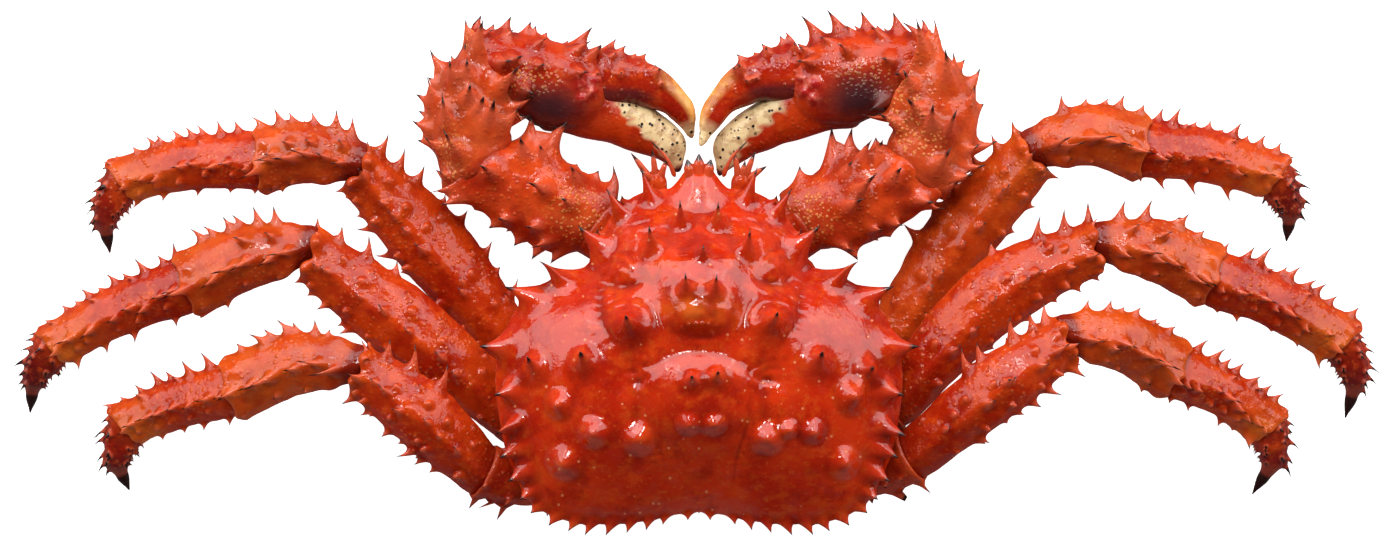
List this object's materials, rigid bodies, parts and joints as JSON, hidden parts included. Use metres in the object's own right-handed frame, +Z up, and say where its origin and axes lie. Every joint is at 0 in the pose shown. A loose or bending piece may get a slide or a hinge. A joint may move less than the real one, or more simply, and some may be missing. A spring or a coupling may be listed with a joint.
{
  "type": "cooked king crab",
  "caption": "Whole cooked spiny king crab lying on its belly, with the claws folded in front and the walking legs arched out to both sides.",
  "frame": {"origin": "middle of the flat belly, where the folded abdomen rests on the surface", "axes": "+X towards the crab's own right side, along its span; +Y the way the head points; +Z up out of the back"},
  "size_m": [0.496, 0.1891, 0.0842],
  "materials": {
    "shell_red": "glossy wet cooked shell, orange red",
    "underside_pale": "satin cooked shell, pale orange",
    "tip_dark": "satin dark red horn with a black tip",
    "finger_red": "glossy dark red shell with a cream tip",
    "eye_black": "glossy black"
  },
  "bodies": {
    "root": {"carapace": "shell_red", "thorax": "underside_pale", "abdomen": "underside_pale", "eye_l": "eye_black", "eye_r": "eye_black", "antenna_l": "shell_red", "antenna_r": "shell_red", "maxilliped_l": "underside_pale", "maxilliped_r": "underside_pale", "leg1_l_base": "shell_red", "leg1_l_merus": "shell_red", "leg1_l_carpus": "shell_red", "leg1_l_propodus": "shell_red", "leg1_l_dactyl": "tip_dark", "leg2_l_base": "shell_red", "leg2_l_merus": "shell_red", "leg2_l_carpus": "shell_red", "leg2_l_propodus": "shell_red", "leg2_l_dactyl": "tip_dark", "leg3_l_base": "shell_red", "leg3_l_merus": "shell_red", "leg3_l_carpus": "shell_red", "leg3_l_propodus": "shell_red", "leg3_l_dactyl": "tip_dark", "leg1_r_base": "shell_red", "leg1_r_merus": "shell_red", "leg1_r_carpus": "shell_red", "leg1_r_propodus": "shell_red", "leg1_r_dactyl": "tip_dark", "leg2_r_base": "shell_red", "leg2_r_merus": "shell_red", "leg2_r_carpus": "shell_red", "leg2_r_propodus": "shell_red", "leg2_r_dactyl": "tip_dark", "leg3_r_base": "shell_red", "leg3_r_merus": "shell_red", "leg3_r_carpus": "shell_red", "leg3_r_propodus": "shell_red", "leg3_r_dactyl": "tip_dark", "claw_l_base": "shell_red", "claw_l_merus": "shell_red", "claw_l_carpus": "shell_red", "claw_l_palm": "shell_red", "claw_l_finger": "finger_red", "claw_r_base": "shell_red", "claw_r_merus": "shell_red", "claw_r_carpus": "shell_red", "claw_r_palm": "shell_red", "claw_r_finger": "finger_red"}
  },
  "joints": []
}
